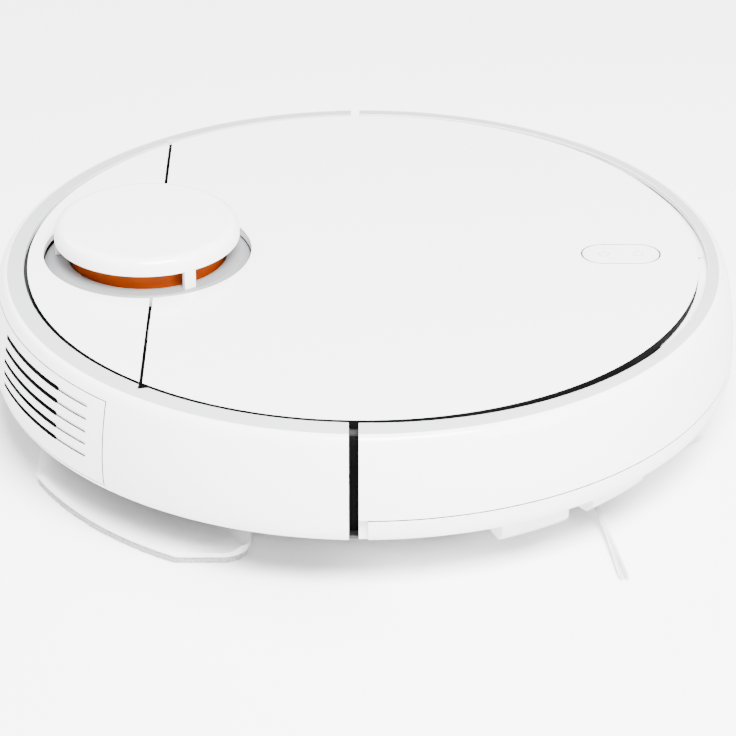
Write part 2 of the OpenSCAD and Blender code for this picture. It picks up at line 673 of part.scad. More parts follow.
module tyre() color(dark) {
  lugs = 30;
  difference() {
    rod_y(0, wheel_y - wheel_w / 2, wheel_r, wheel_r - 1.8, wheel_w);
    rod_y(0, wheel_y - wheel_w, wheel_r, wheel_r - tyre_t, 2 * wheel_w);
  }
  for (i = [0:lugs - 1]) translate([0, wheel_y, wheel_r]) rotate([0, 360 * (i + 0.5) / lugs, 0])
    box([wheel_r - 2.4, -wheel_w / 2 + 1, -1.9], [wheel_r - 0.1, wheel_w / 2 - 1, 1.9]);
}
wheel_spring_z = base_top + 1;
module wheel_spring() color(steel)
  translate([arm_l + 5.5, (arm_in + arm_out) / 2, wheel_spring_z])
    coil(2.6, 0.45, pivot_z - 9.5 - wheel_spring_z, 6);
module left_wheel_arm() wheel_arm();
module left_wheel_hub() wheel_hub();
module left_tyre() tyre();
module left_wheel_spring() wheel_spring();
module right_wheel_arm() on_side(-1) wheel_arm();
module right_wheel_hub() on_side(-1) wheel_hub();
module right_tyre() on_side(-1) tyre();
module right_wheel_spring() on_side(-1) wheel_spring();

// ---- Caster ----
caster_axle = 1.5;
caster_w = 12;
module caster_fork() color(dark) difference() {
  union() {
    at(caster_x, 0) translate([0, 0, ground - 2]) cylinder(r = caster_cup - 0.7, h = cup_h - 1.5);
    at(caster_x, 0) translate([0, 0, ground + cup_h - 4]) cylinder(r = caster_stem, h = 9);
  }
  rod_y(caster_x - caster_trail, -caster_w / 2 - 0.6, caster_r, caster_r + 1, caster_w + 1.2);
  box([caster_x - caster_trail - caster_r - 1, -caster_w / 2 - 0.6, 0],
    [caster_x - caster_trail + caster_r + 1, caster_w / 2 + 0.6, caster_r]);
  rod_y(caster_x - caster_trail, -10, caster_r, caster_axle + run, 20);
}
module caster_wheel() color(pale) {
  rod_y(caster_x - caster_trail, -caster_w / 2, caster_r, caster_r, caster_w);
  rod_y(caster_x - caster_trail, -9.5, caster_r, caster_axle, 19);
}

// ---- Main brush and its drive ----
module brush_housing() color(dark) difference() {
  box([housing_back, -housing_y, base_top + hair], [housing_front, housing_y, housing_top]);
  rod_y(brush_x, -brush_l / 2 - 1.5, brush_z, chamber_r, brush_l + 3);
  box([brush_x - chamber_r, -brush_l / 2 - 1.5, 0], [brush_x + chamber_r, brush_l / 2 + 1.5, brush_z]);
  rod_y(brush_x, -housing_y - 1, brush_z, shaft_r + run, 2 * housing_y + 2);
  box([brush_x, -28, housing_top - 11], [housing_front + 1, 28, housing_top - 3]);
}
module brush_guard() color(dark) difference() {
  box([housing_back - 3, -housing_y - 3, ground - 3], [housing_front + 2, housing_y, ground - hair]);
  box([brush_x - chamber_r + 0.5, -brush_l / 2 - 1.5, 0],
    [brush_x + chamber_r - 0.5, brush_l / 2 + 1.5, ground + 1]);
}
module gear_at(z) translate([brush_x, gear_y + gear_t, z]) rotate([90, 0, 0])
  linear_extrude(gear_t) children();
module main_brush_core() color(dark) {
  rod_y(brush_x, -brush_l / 2, brush_z, core_r, brush_l);
  rod_y(brush_x, -housing_y + 0.5, brush_z, shaft_r, 2 * housing_y - 1);
  gear_at(brush_z) gear_2d(brush_gear_teeth, gear_module);
  rod_y(brush_x, housing_y - 1, brush_z, shaft_r, gear_y - housing_y + 2);
}
module main_brush_blades() color(grey) for (i = [0:5]) translate([brush_x, 0, brush_z])
  rotate([0, 60 * i, 0]) box([core_r + 0.02, -brush_l / 2, -1.2], [brush_r - 0.1, brush_l / 2, 1.2]);
module brush_idler() color(white) gear_at(idler_z) difference() {
  rotate(180 / idler_teeth) gear_2d(idler_teeth, gear_module);
  circle(r = idler_pin_r + run);
}
module brush_pinion() color(white) gear_at(pinion_z) difference() {
  gear_2d(pinion_teeth, gear_module);
  circle(r = motor_shaft_r + run);
}
module brush_gearbox() color(grey) {
  difference() {
    box([brush_x - gearbox_half, housing_y + 0.1, ground - 3],
      [brush_x + gearbox_half, housing_y + gearbox_t, pinion_z + 7]);
    for (g = [[brush_z, brush_gear_teeth], [idler_z, idler_teeth], [pinion_z, pinion_teeth]])
      rod_y(brush_x, gear_y - 0.2, g[0], gear_module * g[1] / 2 + well_clear, gear_t + 0.4);
    rod_y(brush_x, housing_y - 1, brush_z, shaft_r + run, 4);
    rod_y(brush_x, housing_y - 1, pinion_z, motor_shaft_r + run, 4);
  }
  rod_y(brush_x, gear_y - 0.3, idler_z, idler_pin_r, gear_t + 0.7);
}
brush_motor_r = 8.5;
brush_motor_l = 30;
module brush_motor() color(steel) {
  rod_y(brush_x, housing_y - brush_motor_l - 1, pinion_z, brush_motor_r, brush_motor_l);
  rod_y(brush_x, housing_y - 2, pinion_z, motor_shaft_r, gear_y + gear_t - housing_y + 2);
}

// ---- Side brush ----
hub_low = 5.5;
module side_brush_drive() color(grey) at(side_x, side_y) difference() {
  union() {
    translate([0, 0, ground + 6.1]) cylinder(r = 15, h = 12);
    translate([4, 0, ground + 18]) cylinder(r = 10, h = 22);
  }
  translate([0, 0, ground]) cylinder(r = side_stem + run, h = 15);
}
module side_brush_hub() color(dark) at(side_x, side_y) {
  translate([0, 0, hub_low]) cylinder(r = 12, h = ground - hub_low - 0.6);
  translate([0, 0, ground - 1]) cylinder(r = side_stem, h = 14);
}
module side_brush_bristles() color(white) at(side_x, side_y)
for (i = [0:2]) rotate([0, 0, tuft_az + 120 * i]) {
  $fn = 12;
  hull() {
    translate([12.2, 0, hub_low + 1]) rotate([0, 90, 0]) cylinder(r = 2, h = 0.5);
    translate([42, 0, 3]) sphere(r = 2);
  }
  hull() {
    translate([42, 0, 3]) sphere(r = 2);
    translate([side_reach - 1, 0, 1.6]) sphere(r = 0.9);
  }
}

// ---- Dust bin ----
bin_back = bay_back + free;
bin_front = bin_back + bin_l;
bin_low = base_top + 2.5;
bin_top = deck_top - 1;
bin_half = bin_w / 2;
bin_lid_t = 2;
duct_near = lidar_y - moat_r - 0.6;
duct_y = [max(duct_near - 24, 3 - bin_half), duct_near];
duct_z = [deck_low - 17, deck_low - 1];
module dust_bin() color("#8E959C") difference() {
  box([bin_back, -bin_half, bin_low], [bin_front, bin_half, bin_top - bin_lid_t - hair]);
  box([bin_back + bin_t, -bin_half + bin_t, bin_low + bin_t],
    [bin_front - bin_t, bin_half - bin_t, bin_top]);
  box([bin_back - 1, -26, housing_top - 10], [bin_back + bin_t + 1, 26, housing_top - 4]);
  box([bin_back - 1, duct_y[0] + 2, duct_z[0] + 2], [bin_back + bin_t + 1, duct_y[1] - 2, duct_z[1] - 2]);
}
module bin_lid() color(pale) difference() {
  box([bin_back, -bin_half, bin_top - bin_lid_t], [bin_front, bin_half, bin_top]);
  at((bin_back + bin_front) / 2 + 12, 0) translate([0, 0, bin_top - 1]) pill(22, 18, 3);
}
module bin_filter() color(white) {
  x0 = bin_back + bin_t + hair;
  pleats = 9;
  pitch = (duct_y[1] - duct_y[0] - 2) / pleats;
  difference() {
    box([x0, duct_y[0], duct_z[0]], [x0 + 7, duct_y[1], duct_z[1] - 2.8]);
    box([x0 - 1, duct_y[0] + 1, duct_z[0] + 1], [x0 + 8, duct_y[1] - 1, duct_z[1] - 4.3]);
  }
  for (i = [0:pleats - 1]) box([x0 + 1, duct_y[0] + 1 + pitch * (i + 0.35), duct_z[0] + 0.8],
    [x0 + 6, duct_y[0] + 1 + pitch * (i + 0.65), duct_z[1] - 4.1]);
}

// ---- Fan, battery and electronics ----
fan_x = (body_r - 52.4) * cos(-144.6);
fan_y = (body_r - 52.4) * sin(-144.6);
fan_low = base_top + 6;
fan_top = duct_z[0] - 0.2;
inlet_r = 10;
module fan_housing() color(dark) at(fan_x, fan_y) difference() {
  union() {
    translate([0, 0, fan_low]) cylinder(r = fan_r, h = fan_top - fan_low);
    rotate([0, 0, -147]) box([10, -13, fan_top - 14], [34, 13, fan_top]);
  }
  translate([0, 0, fan_low + 12]) cylinder(r = fan_r - 2, h = fan_top - fan_low - 14);
  translate([0, 0, fan_low]) cylinder(r = inlet_r, h = fan_top);
  translate([0, 0, fan_low - 1]) cylinder(r = 13 + hair, h = 12);
  rotate([0, 0, -147]) box([10, -11, fan_top - 12], [35, 11, fan_top - 2]);
}
module fan_motor() color(steel) at(fan_x, fan_y) {
  translate([0, 0, fan_low - 2.5]) cylinder(r = 13, h = 12.5);
  translate([0, 0, fan_low + 9]) cylinder(r = 1.5, h = 14);
}
module fan_impeller() color(grey) at(fan_x, fan_y) difference() {
  union() {
    translate([0, 0, fan_low + 13]) cylinder(r = fan_r - 5, h = 1.5);
    translate([0, 0, fan_low + 13]) cylinder(r = 6, h = 11);
    for (i = [0:8]) rotate([0, 0, 40 * i]) box([5, -0.6, fan_low + 13], [fan_r - 6, 0.6, fan_top - 3]);
  }
  translate([0, 0, fan_low]) cylinder(r = 1.5 + run, h = 40);
}
module fan_duct() color(dark) difference() {
  box([fan_x - 14, duct_y[0] - 14, duct_z[0]], [bin_back - 0.3, duct_y[1], duct_z[1]]);
  box([fan_x - 12, duct_y[0] - 12, duct_z[0] + 2], [bin_back, duct_y[1] - 2, duct_z[1] - 2]);
  at(fan_x, fan_y) cylinder(r = inlet_r, h = duct_z[0] + 3);
}
module battery() color("#3E5A86") box([battery_back, -battery_size[1] / 2, base_top + 1],
  [battery_back + battery_size[0], battery_size[1] / 2, base_top + 1 + battery_size[2]]);
module battery_cover() color(dark) box(hatch_lo, hatch_hi - [0, 0, 0.3]);
board_x = [-(body_r - 65), -(body_r - 129)];
board_y = [48, 98];
module main_board() color(pcb_green) {
  box([board_x[0], board_y[0], 30], [board_x[1], board_y[1], 31.6]);
  for (p = [[10, 12, 14], [34, 20, 10], [14, 38, 8], [42, 35, 12]])
    box([board_x[0] + p[0], board_y[0] + p[1], 31.6],
      [board_x[0] + p[0] + p[2], board_y[0] + p[1] + p[2], 34]);
  for (i = [0, 1]) for (j = [0, 1]) at(board_x[0] + 4 + i * 56, board_y[0] + 4 + j * 42)
    translate([0, 0, base_top + hair]) cylinder(r = 2.5, h = 30 - base_top - hair);
}
module speaker() color(dark) polar(frame_in - 13, 150.8) translate([0, 0, 54]) rotate([0, 90, 0]) {
  cylinder(r = 11, h = 5);
  translate([0, 0, 5]) cylinder(r = 14, h = 4);
}
module charging_contacts() color(copper) for (s = [-1, 1])
  box([contact_x - 6, s * contact_y - 6, ground - 0.2],
    [contact_x + 6, s * contact_y + 6, ground + 1 - hair]);
module cliff_windows() color("#141414") for (a = pod_az) polar(flat_r + 5, a)
  box([-3, -7, ground + 0.2], [3, 7, ground + 1.5 - hair]);
module base_screws() color(steel) for (p = screw_places) at(p[0], p[1]) {
  translate([0, 0, ground + 0.2]) cylinder(d = screw_d * 2 - 0.4, h = 1);
  translate([0, 0, ground + 1]) cylinder(d = screw_d, h = 9);
}

// ---- Mop ----
mop_r = body_r - 5.5;
mop_back = body_r - 25;
mop_corner = 12;              // radius of the front corners, seen from above
mop_lip = 2.2;                // height of the plate's rim above the cloth
// A polygon's corner rounded with radius r, as n + 1 points
function unit(v) = v / norm(v);
function round_corner(a, b, c, r, n) = let (
  u = unit(a - b), v = unit(c - b), half = acos(u * v) / 2,
  mid = b + unit(u + v) * r / sin(half), p = b + u * r / tan(half) - mid, q = b + v * r / tan(half) - mid,
  start = atan2(p[1], p[0]), turn = atan2(p[0] * q[1] - p[1] * q[0], p * q))
  [for (i = [0:n]) mid + r * [cos(start + turn * i / n), sin(start + turn * i / n)]];
module mop_outline(inset) {
  f = -mop_front - inset;
  b = -mop_back + inset;
  h = mop_half - inset;
  half = concat(round_corner([f, 0], [f, -h], [b, -h], mop_corner, 8), [[b, -h]]);
  polygon(concat(half, [for (p = flip(half)) [p[0], -p[1]]]));
}
// The plate's section between two straight edges at a and b, with both upper edges sloped
module mop_section(a, b) polygon([[a, 0], [b, 0], [b, cloth_t + mop_lip], [b - 3, cloth_t + mop_lip + 1.6],
  [b - 14, mop_top + 1], [a + 14, mop_top + 1], [a + 3, cloth_t + mop_lip + 1.6], [a, cloth_t + mop_lip]]);
module mop_plate() color(white) difference() {
  intersection() {
    rotate_extrude() polygon([[0, cloth_t + hair], [mop_r - 0.5, cloth_t + hair], [mop_r, cloth_t + 0.7],
      [mop_r, cloth_t + mop_lip - 0.8], [mop_r - 0.9, cloth_t + mop_lip],
      [mop_r - 4, cloth_t + mop_lip + 1.4], [flat_r, mop_top - 1], [flat_r - 5, mop_top], [0, mop_top]]);
    linear_extrude(20) mop_outline(0);
    rotate([90, 0, 0]) translate([0, 0, -body_r]) linear_extrude(2 * body_r)
      mop_section(-mop_back, -mop_front);
    rotate([90, 0, 90]) translate([0, 0, -body_r]) linear_extrude(2 * body_r)
      mop_section(-mop_half, mop_half);
  }
  for (s = [-1, 1]) {
    box([stud_x - stud_r - 0.6, s * stud_y - stud_r - 0.6, cloth_t + 1], [0, s * stud_y + stud_r + 0.6, 20]);
    box([stud_x - stud_head - 0.6, s * stud_y - stud_head - 0.6, ground - 7.6],
      [0, s * stud_y + stud_head + 0.6, ground - 4.8]);
  }
}
module mop_cloth() color(cloth_grey) intersection() {
  cylinder(r = mop_r - 0.6, h = cloth_t);
  linear_extrude(20) mop_outline(0.6);
}

base_plate();
inner_frame();
rear_shell();
rear_panel();
upper_deck();
lid_seal();
rear_top_cover();
hinge_pins();
lidar_base();
lidar_cap();
lidar_bearing();
lidar_motor();
lidar_belt();
battery();
battery_cover();
main_board();
speaker();
fan_housing();
fan_motor();
fan_duct();
brush_housing();
brush_guard();
brush_gearbox();
brush_motor();
side_brush_drive();
switch_board();
bumper_switches();
charging_contacts();
cliff_windows();
base_screws();
bumper();
bumper_trim();
bumper_springs();
lid();
button_bezel();
button_rocker();
lidar_rotor();
lidar_pulley();
dust_bin();
bin_lid();
bin_filter();
main_brush_core();
main_brush_blades();
brush_idler();
brush_pinion();
side_brush_hub();
side_brush_bristles();
fan_impeller();
left_wheel_arm();
left_wheel_hub();
left_tyre();
right_wheel_arm();
right_wheel_hub();
right_tyre();
left_wheel_spring();
right_wheel_spring();
caster_fork();
caster_wheel();
mop_plate();
mop_cloth();
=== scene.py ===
"""Looks of a round robot vacuum: gloss white shells, laser turret, brushes, wheels and a mop cloth."""
import json
import math
import random

import bmesh
import bpy
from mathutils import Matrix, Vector


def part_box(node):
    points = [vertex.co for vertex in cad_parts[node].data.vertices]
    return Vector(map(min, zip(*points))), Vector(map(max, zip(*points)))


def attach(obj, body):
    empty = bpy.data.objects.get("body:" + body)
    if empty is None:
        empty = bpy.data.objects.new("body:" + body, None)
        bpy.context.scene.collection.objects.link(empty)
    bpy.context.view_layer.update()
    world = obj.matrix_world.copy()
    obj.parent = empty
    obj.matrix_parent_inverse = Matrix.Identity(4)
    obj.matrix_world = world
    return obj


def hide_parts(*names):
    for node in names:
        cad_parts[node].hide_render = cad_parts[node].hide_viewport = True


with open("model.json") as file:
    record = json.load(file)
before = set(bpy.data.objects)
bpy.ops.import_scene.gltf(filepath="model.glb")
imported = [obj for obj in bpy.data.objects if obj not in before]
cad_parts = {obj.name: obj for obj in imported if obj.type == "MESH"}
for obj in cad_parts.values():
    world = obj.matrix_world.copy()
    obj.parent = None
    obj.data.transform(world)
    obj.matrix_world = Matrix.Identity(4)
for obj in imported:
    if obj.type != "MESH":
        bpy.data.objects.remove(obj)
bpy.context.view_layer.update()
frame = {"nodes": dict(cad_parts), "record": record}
nodes = frame["nodes"]
MM = 0.001
BODY_TOP = 78.5 * MM
SKY_POWER = 2.0
SOFTEN_ABOVE = 32        # edges sharper than this many degrees get a mould radius
SMOOTH_BELOW = 38        # faces that meet at less than this many degrees shade as one


# ---------------------------------------------------------------- camera, floor and light
def centre(node):
    """The middle of a CAD node's box."""
    low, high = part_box(node)
    return (low + high) / 2


def set_camera():
    """A long lens 27 degrees above the lid, looking from the robot's right."""
    aim = Vector((0, 0, BODY_TOP))
    distance, tilt = 1.48, math.radians(26.8)
    place = aim + distance * Vector((0, -math.cos(tilt), math.sin(tilt)))
    ahead = (aim - place).normalized()
    right = Vector((1, 0, 0))
    up = right.cross(ahead)
    below, aside = 0.03619, 0.00152          # how far under and beside the lid's middle the lens points
    look = ahead - up * below + right * aside
    data = bpy.data.cameras.new("studio_camera")
    data.lens = 154.1
    data.sensor_width = 36
    camera = bpy.data.objects.new("studio_camera", data)
    camera.location = place
    camera.rotation_euler = look.to_track_quat("-Z", "Y").to_euler()
    bpy.context.scene.collection.objects.link(camera)
    bpy.context.scene.camera = camera


def shaded(colour, share):
    """A linear colour with its light scaled to a share."""
    return tuple(c * share for c in colour[:3]) + (1,)


def linear(colour):
    """An sRGB hex colour as the linear values that shaders take."""
    parts = [int(colour[i:i + 2], 16) / 255 for i in (1, 3, 5)]
    return tuple(c / 12.92 if c <= 0.04045 else ((c + 0.055) / 1.055) ** 2.4 for c in parts) + (1,)


def add(tree, kind, settings=None, links=None):
    """Adds a shader node. A setting is a field or an input of it; a link is input: output socket."""
    made = tree.nodes.new(kind)
    for key, value in (settings or {}).items():
        if isinstance(key, str) and hasattr(made, key):
            setattr(made, key, value)
        else:
            made.inputs[key].default_value = value
    for key, source in (links or {}).items():
        tree.links.new(source, made.inputs[key])
    return made


def blank(name):
    """A new material with only its output node."""
    material = bpy.data.materials.new(name)
    material.use_nodes = True
    tree = material.node_tree
    tree.nodes.clear()
    return material, tree, tree.nodes.new("ShaderNodeOutputMaterial")


def lamp(name, place, size, power, colour="#FFFFFF"):
    """A soft rectangular studio lamp that points at the robot's middle."""
    aim = Vector((0, 0, 40 * MM))
    data = bpy.data.lights.new(name, "AREA")
    data.shape = "RECTANGLE"
    data.size, data.size_y = size
    data.energy = power
    data.color = linear(colour)[:3]
    made = bpy.data.objects.new(name, data)
    made.location = place
    made.rotation_euler = (aim - Vector(place)).to_track_quat("-Z", "Y").to_euler()
    bpy.context.scene.collection.objects.link(made)


def set_studio():
    """An even white room with one big lamp above and a weaker one on each side."""
    world = bpy.data.worlds.new("white_room")
    bpy.context.scene.world = world
    world.use_nodes = True
    tree = world.node_tree
    tree.nodes.clear()
    place = add(tree, "ShaderNodeTexCoord")
    split = add(tree, "ShaderNodeSeparateXYZ", None, {0: place.outputs["Generated"]})
    rise = add(tree, "ShaderNodeMapRange",
               {"From Min": 0.0, "From Max": 0.75, "To Min": 0.25, "To Max": 1.0},
               {"Value": split.outputs[2]})
    glow = add(tree, "ShaderNodeBackground", {"Color": linear("#FBFBFC")})
    power = add(tree, "ShaderNodeMath", {"operation": "MULTIPLY", 1: SKY_POWER}, {0: rise.outputs[0]})
    tree.links.new(power.outputs[0], glow.inputs["Strength"])
    tree.links.new(glow.outputs[0], tree.nodes.new("ShaderNodeOutputWorld").inputs[0])
    lamp("key_lamp", (0.35, -1.05, 1.75), (1.1, 0.8), 260)
    lamp("fill_lamp", (1.3, -1.3, 0.6), (0.8, 0.6), 28)
    lamp("rear_lamp", (-1.2, 0.9, 1.2), (0.8, 0.8), 18)

    material, tree, out = blank("seamless_paper")
    # matt white studio paper: bright, with the faintest tooth
    tooth = add(tree, "ShaderNodeTexNoise", {"Scale": 900.0, "Detail": 3.0})
    bump = add(tree, "ShaderNodeBump", {"Strength": 0.02, "Distance": 0.0002}, {"Height": tooth.outputs[0]})
    paper = add(tree, "ShaderNodeBsdfPrincipled", {"Base Color": linear("#FFFFFF"), "Roughness": 0.9},
                {"Normal": bump.outputs[0]})
    tree.links.new(paper.outputs[0], out.inputs[0])
    sheet = bpy.data.meshes.new("studio_floor")
    half = 6.0
    sheet.from_pydata([(-half, -half, 0), (half, -half, 0), (half, half, 0), (-half, half, 0)],
                      [], [(0, 1, 2, 3)])
    floor = bpy.data.objects.new("studio_floor", sheet)
    sheet.materials.append(material)
    bpy.context.scene.collection.objects.link(floor)


set_camera()
set_studio()


# ---------------------------------------------------------------- materials
def moulded(name, colour, rough, grain_mm, grain_depth, tint=0.02, coat=0.0, ior=1.5, wave=0.0):
    """Injection-moulded plastic: its colour drifts slightly, its gloss varies with flow and handling,
    and grain_mm is the mould's texture, drawn coarser than the real 0.05 to 0.2 mm so that it shows.
    wave adds the shallow orange peel of a gloss face."""
    flow_mm, peel_mm = 60, 7
    material, tree, out = blank(name)
    place = add(tree, "ShaderNodeTexCoord")
    flow = add(tree, "ShaderNodeTexNoise", {"Scale": 1000 / flow_mm, "Detail": 3.0, "Roughness": 0.5},
               {"Vector": place.outputs["Object"]})
    grain = add(tree, "ShaderNodeTexNoise", {"Scale": 1000 / grain_mm, "Detail": 4.0, "Roughness": 0.6},
                {"Vector": place.outputs["Object"]})
    base = linear(colour)
    tone = add(tree, "ShaderNodeMix", {"data_type": "RGBA", 6: shaded(base, 1 - tint), 7: base},
               {"Factor": flow.outputs[0]})
    gloss = add(tree, "ShaderNodeMapRange",
                {"From Min": 0.3, "From Max": 0.7,
                 "To Min": rough * 0.85, "To Max": min(1.0, rough * 1.15)},
                {"Value": flow.outputs[0]})
    bump = add(tree, "ShaderNodeBump", {"Strength": grain_depth, "Distance": 0.0001},
               {"Height": grain.outputs[0]})
    last = bump
    if wave:
        peel = add(tree, "ShaderNodeTexNoise", {"Scale": 1000 / peel_mm, "Detail": 1.0},
                   {"Vector": place.outputs["Object"]})
        last = add(tree, "ShaderNodeBump", {"Strength": wave, "Distance": 0.0001},
                   {"Height": peel.outputs[0], "Normal": bump.outputs[0]})
    face = add(tree, "ShaderNodeBsdfPrincipled",
               {"IOR": ior, "Coat Weight": coat, "Coat Roughness": 0.12},
               {"Base Color": tone.outputs[2], "Roughness": gloss.outputs[0], "Normal": last.outputs[0]})
    tree.links.new(face.outputs[0], out.inputs[0])
    return material


def drawn_metal(name, colour, rough, line_mm, axis_stretch):
    """Turned or drawn metal: fine lines along one direction that streak its shine, drawn coarser
    than the real 0.02 to 0.1 mm so that they show."""
    material, tree, out = blank(name)
    place = add(tree, "ShaderNodeTexCoord")
    stretch = add(tree, "ShaderNodeMapping", {"Scale": axis_stretch}, {"Vector": place.outputs["Object"]})
    lines = add(tree, "ShaderNodeTexNoise", {"Scale": 1000 / line_mm, "Detail": 2.0},
                {"Vector": stretch.outputs[0]})
    gloss = add(tree, "ShaderNodeMapRange", {"To Min": rough * 0.7, "To Max": rough * 1.3},
                {"Value": lines.outputs[0]})
    bump = add(tree, "ShaderNodeBump", {"Strength": 0.15, "Distance": 0.00005},
               {"Height": lines.outputs[0]})
    base = linear(colour)
    tone = add(tree, "ShaderNodeMix", {"data_type": "RGBA", 6: shaded(base, 0.9), 7: base},
               {"Factor": lines.outputs[0]})
    face = add(tree, "ShaderNodeBsdfPrincipled", {"Metallic": 1.0},
               {"Base Color": tone.outputs[2], "Roughness": gloss.outputs[0], "Normal": bump.outputs[0]})
    tree.links.new(face.outputs[0], out.inputs[0])
    return material


def tinted_polycarbonate(name, colour, clear, rough):
    """Polished see-through plastic in one tint, with faint handling haze in hand-sized patches."""
    haze_mm = 25
    material, tree, out = blank(name)
    place = add(tree, "ShaderNodeTexCoord")
    haze = add(tree, "ShaderNodeTexNoise", {"Scale": 1000 / haze_mm, "Detail": 4.0},
               {"Vector": place.outputs["Object"]})
    gloss = add(tree, "ShaderNodeMapRange", {"To Min": rough, "To Max": rough * 2.2},
                {"Value": haze.outputs[0]})
    base = linear(colour)
    tone = add(tree, "ShaderNodeMix", {"data_type": "RGBA", 6: shaded(base, 0.88), 7: base},
               {"Factor": haze.outputs[0]})
    face = add(tree, "ShaderNodeBsdfPrincipled", {"IOR": 1.58, "Transmission Weight": clear},
               {"Base Color": tone.outputs[2], "Roughness": gloss.outputs[0]})
    tree.links.new(face.outputs[0], out.inputs[0])
    return material


def soft_rubber(name, colour, rough, grain_mm):
    """Moulded rubber: nearly black or grey, dull, with a dusty bloom in patches."""
    bloom_mm = 18
    material, tree, out = blank(name)
    place = add(tree, "ShaderNodeTexCoord")
    bloom = add(tree, "ShaderNodeTexNoise", {"Scale": 1000 / bloom_mm, "Detail": 5.0, "Roughness": 0.65},
                {"Vector": place.outputs["Object"]})
    grain = add(tree, "ShaderNodeTexNoise", {"Scale": 1000 / grain_mm, "Detail": 3.0},
                {"Vector": place.outputs["Object"]})
    base = linear(colour)
    tone = add(tree, "ShaderNodeMix",
               {"data_type": "RGBA", 6: base, 7: tuple(min(1, c * 1.5 + 0.006) for c in base[:3]) + (1,)},
               {"Factor": bloom.outputs[0]})
    bump = add(tree, "ShaderNodeBump", {"Strength": 0.35, "Distance": 0.0001},
               {"Height": grain.outputs[0]})
    face = add(tree, "ShaderNodeBsdfPrincipled", {"Roughness": rough, "IOR": 1.52, "Sheen Weight": 0.08},
               {"Base Color": tone.outputs[2], "Normal": bump.outputs[0]})
    tree.links.new(face.outputs[0], out.inputs[0])
    return material


def looped_microfibre(name, colour, loop_mm):
    """Terry-like microfibre: small loops, with painted shade between them, and a soft sheen. Its single
    fibres are drawn far coarser than the real 0.01 mm, so that they show."""
    fibre_mm = 0.35
    material, tree, out = blank(name)
    place = add(tree, "ShaderNodeTexCoord")
    loops = add(tree, "ShaderNodeTexVoronoi", {"Scale": 1000 / loop_mm, "Randomness": 0.7},
                {"Vector": place.outputs["Object"]})
    fibre = add(tree, "ShaderNodeTexNoise", {"Scale": 1000 / fibre_mm, "Detail": 4.0},
                {"Vector": place.outputs["Object"]})
    height = add(tree, "ShaderNodeMath", {"operation": "MULTIPLY_ADD", 1: -1.0},
                 {0: loops.outputs["Distance"], 2: fibre.outputs[0]})
    base = linear(colour)
    # the pits between the loops are painted darker as their shade
    tone = add(tree, "ShaderNodeMix", {"data_type": "RGBA", 6: base, 7: shaded(base, 0.55)},
               {"Factor": loops.outputs["Distance"]})
    bump = add(tree, "ShaderNodeBump", {"Strength": 0.8, "Distance": 0.0006}, {"Height": height.outputs[0]})
    face = add(tree, "ShaderNodeBsdfPrincipled",
               {"Roughness": 0.95, "Sheen Weight": 0.35, "Sheen Roughness": 0.5},
               {"Base Color": tone.outputs[2], "Normal": bump.outputs[0]})
    tree.links.new(face.outputs[0], out.inputs[0])
    return material


def pleated_fleece(name):
    """Off-white filter fleece: short random fibres, drawn coarser than the real 0.03 mm so that
    they show."""
    fibre_mm = 0.8
    material, tree, out = blank(name)
    place = add(tree, "ShaderNodeTexCoord")
    fibre = add(tree, "ShaderNodeTexNoise", {"Scale": 1000 / fibre_mm, "Detail": 6.0, "Distortion": 1.5},
                {"Vector": place.outputs["Object"]})
    tone = add(tree, "ShaderNodeMix", {"data_type": "RGBA", 6: linear("#C9C8C0"), 7: linear("#EFEEE8")},
               {"Factor": fibre.outputs[0]})
    bump = add(tree, "ShaderNodeBump", {"Strength": 0.5, "Distance": 0.0002}, {"Height": fibre.outputs[0]})
    face = add(tree, "ShaderNodeBsdfPrincipled", {"Roughness": 0.95, "Sheen Weight": 0.2},
               {"Base Color": tone.outputs[2], "Normal": bump.outputs[0]})
    tree.links.new(face.outputs[0], out.inputs[0])
    return material


def solder_mask(name):
    """Green circuit board: glossy lacquer over copper tracks a shade lighter, drawn about ten times
    wider than real ones."""
    track_mm = 6
    material, tree, out = blank(name)
    place = add(tree, "ShaderNodeTexCoord")
    tracks = add(tree, "ShaderNodeTexBrick",
                 {"Scale": 1000 / track_mm, "Mortar Size": 0.06, "Row Height": 0.35,
                  "Color1": linear("#1F5A38"), "Color2": linear("#256642"), "Mortar": linear("#4C8F5E")},
                 {"Vector": place.outputs["Object"]})
    bump = add(tree, "ShaderNodeBump", {"Strength": 0.2, "Distance": 0.00005},
               {"Height": tracks.outputs["Fac"]})
    face = add(tree, "ShaderNodeBsdfPrincipled", {"Roughness": 0.3, "Coat Weight": 0.4},
               {"Base Color": tracks.outputs["Color"], "Normal": bump.outputs[0]})
    tree.links.new(face.outputs[0], out.inputs[0])
    return material


